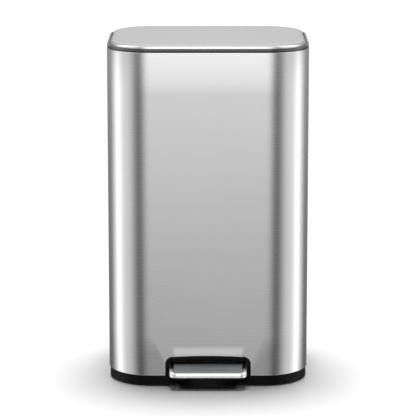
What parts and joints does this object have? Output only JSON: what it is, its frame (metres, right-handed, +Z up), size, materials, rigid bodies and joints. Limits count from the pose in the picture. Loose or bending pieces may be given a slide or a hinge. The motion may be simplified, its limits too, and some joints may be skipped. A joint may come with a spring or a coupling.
{
  "type": "pedal bin",
  "caption": "Tall rectangular step bin with rounded corners, brushed steel body on a black base, a hinged lid worked by a foot pedal through a lever and push rod, and a removable inner bucket.",
  "frame": {"origin": "on the floor, under the middle of the whole bin's outline, pedal and rear hinge cover included", "axes": "+Z up; +Y from the pedal at the front to the hinge at the back, so the front faces -Y; +X to the right of someone facing the same way as +Y"},
  "size_m": [0.39, 0.378, 0.667],
  "materials": {
    "shell_steel": "fine brushed grain, satin",
    "pedal_steel": "satin, with a worn bright front edge",
    "base_plastic": "fine grained matte black",
    "lid_plastic": "satin dark grey",
    "liner_plastic": "satin grey",
    "bucket_plastic": "satin dark grey",
    "rubber": "matte",
    "nylon": "natural nylon, satin",
    "zinc_steel": "zinc plated, satin",
    "black_steel": "black coated, satin",
    "bright_steel": "polished",
    "spring_steel": "dark spring steel",
    "damper_aluminium": "turned, satin"
  },
  "bodies": {
    "cabinet": {"outer_shell": "shell_steel", "base": "base_plastic", "pedal_bezel": "base_plastic", "rubber_feet": "rubber", "toe_pad": "rubber", "base_screws": "zinc_steel", "top_collar": "lid_plastic", "lid_bumpers": "rubber", "pedal_shaft": "bright_steel", "shaft_bushes": "nylon", "shaft_clips": "spring_steel", "rod_guides": "base_plastic", "damper_body": "damper_aluminium", "damper_clips": "base_plastic", "hinge_bracket": "black_steel", "bracket_screws": "zinc_steel", "bracket_nuts": "zinc_steel", "hinge_pin": "bright_steel", "hinge_pin_clips": "spring_steel", "hinge_cover": "base_plastic", "cover_screws": "zinc_steel"},
    "lid": {"lid_panel": "shell_steel", "lid_frame": "lid_plastic", "lid_liner": "liner_plastic", "lid_hinge_leaf": "zinc_steel", "lid_crank": "zinc_steel", "leaf_screws": "zinc_steel", "liner_screws": "zinc_steel"},
    "pedal": {"pedal_plate": "pedal_steel", "pedal_core": "base_plastic", "pedal_lever": "zinc_steel", "lever_tube": "zinc_steel", "lever_tail": "zinc_steel", "pedal_screws": "zinc_steel"},
    "push_rod": {"push_rod": "bright_steel", "rod_clips": "spring_steel", "rod_bridge": "base_plastic", "damper_piston": "bright_steel"},
    "bucket": {"inner_bucket": "bucket_plastic"}
  },
  "joints": [
    {"name": "lid_hinge", "type": "hinge", "parent": "cabinet", "child": "lid", "pos_m": [0, 0.1745, 0.659], "axis": [-1, 0, 0], "range_deg": [0, 75]},
    {"name": "pedal_press", "type": "hinge", "parent": "cabinet", "child": "pedal", "pos_m": [0, -0.06197, 0.042], "axis": [1, 0, 0], "range_deg": [0, 8.55]},
    {"name": "rod_lift", "type": "slide", "parent": "cabinet", "child": "push_rod", "axis": [0, 0, 1], "range_m": [0, 0.03224]},
    {"name": "bucket_lift", "type": "slide", "parent": "cabinet", "child": "bucket", "axis": [0, 0, 1], "range_m": [0, 0.01]}
  ],
  "couplings": [
    {"joint": "pedal_press", "follows": "lid_hinge", "ratio": 0.11405},
    {"joint": "rod_lift", "follows": "lid_hinge", "m_per_rad": 0.02462}
  ]
}
